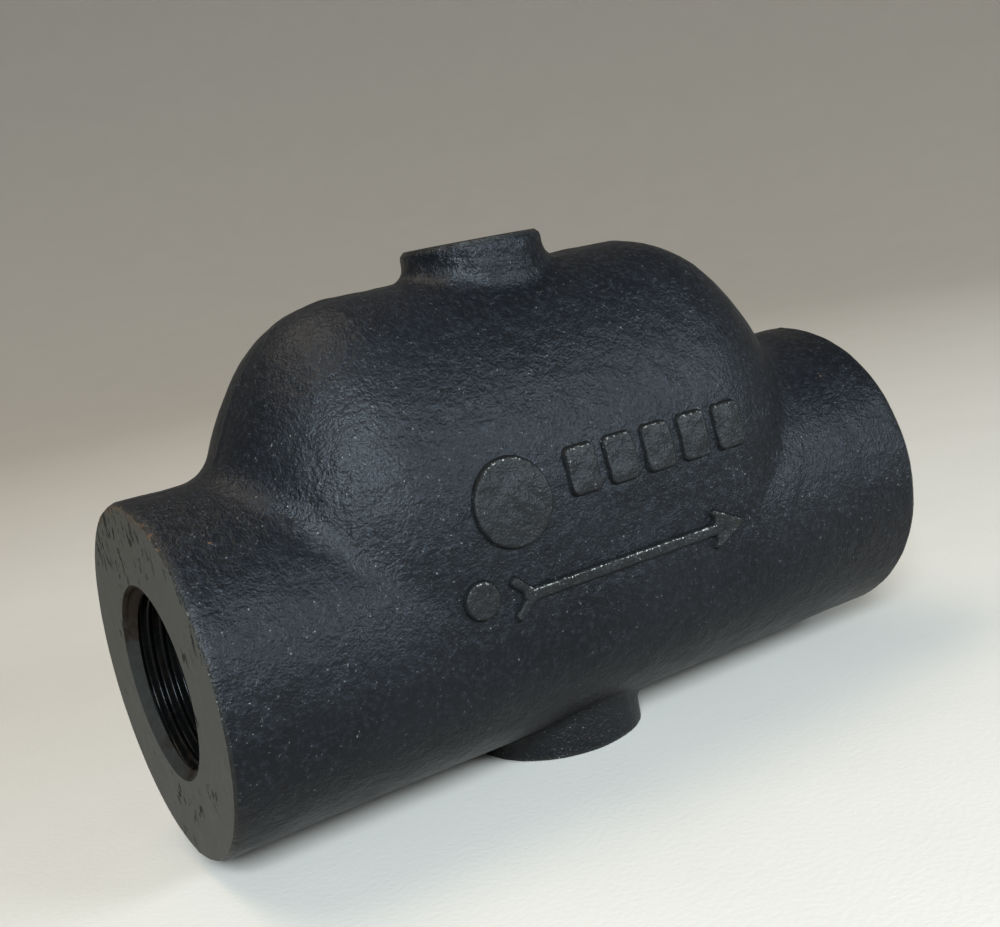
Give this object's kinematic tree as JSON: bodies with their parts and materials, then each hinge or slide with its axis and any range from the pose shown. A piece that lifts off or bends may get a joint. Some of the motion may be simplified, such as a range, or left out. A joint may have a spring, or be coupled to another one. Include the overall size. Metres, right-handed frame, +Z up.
{
  "type": "steam trap",
  "caption": "In-line cast-iron steam trap with a domed chamber, threaded pipe ends and a float valve and thermostatic vent inside.",
  "frame": {"origin": "centre of the drain boss's face, which the trap stands on", "axes": "+X the way the flow goes, from the inlet (-X) to the outlet (+X); -Y the side with the raised marks that faces the viewer; +Z up through the dome and the top boss"},
  "size_m": [0.1524, 0.0654, 0.0988],
  "materials": {
    "painted_iron": "satin black paint over a rough casting",
    "plug_iron": "black, oiled",
    "stainless": "drawn, satin",
    "hard_steel": "ground",
    "spring_steel": "blued",
    "brass": "machined",
    "gasket": "matte"
  },
  "bodies": {
    "casting": {"body": "painted_iron", "inlet_screen": "stainless", "screen_ring": "spring_steel", "valve_carrier": "brass", "carrier_gasket": "gasket", "main_seat": "hard_steel", "lever_bracket": "stainless", "bracket_screw_front": "stainless", "bracket_screw_back": "stainless", "hinge_pin": "hard_steel", "hinge_clip_front": "spring_steel", "hinge_clip_back": "spring_steel", "vent_body": "brass", "vent_seat": "hard_steel", "capsule_clip": "spring_steel", "vent_capsule": "stainless", "vent_diaphragm": "stainless", "top_plug": "plug_iron", "drain_plug": "plug_iron"},
    "float": {"float_lever": "stainless", "valve_ball": "hard_steel", "float_outlet_cup": "stainless", "float_inlet_cup": "stainless", "float_stud": "stainless", "float_nut": "stainless"},
    "vent_valve": {"vent_valve": "hard_steel"}
  },
  "joints": [
    {"name": "float_hinge", "type": "hinge", "parent": "casting", "child": "float", "pos_m": [0.02887, 0, 0.0424], "axis": [0, 1, 0], "range_deg": [0, 15]},
    {"name": "vent_valve_lift", "type": "slide", "parent": "casting", "child": "vent_valve", "axis": [0, 0, 1], "range_m": [0, 0.0012], "stiffness_N_per_m": 50}
  ]
}
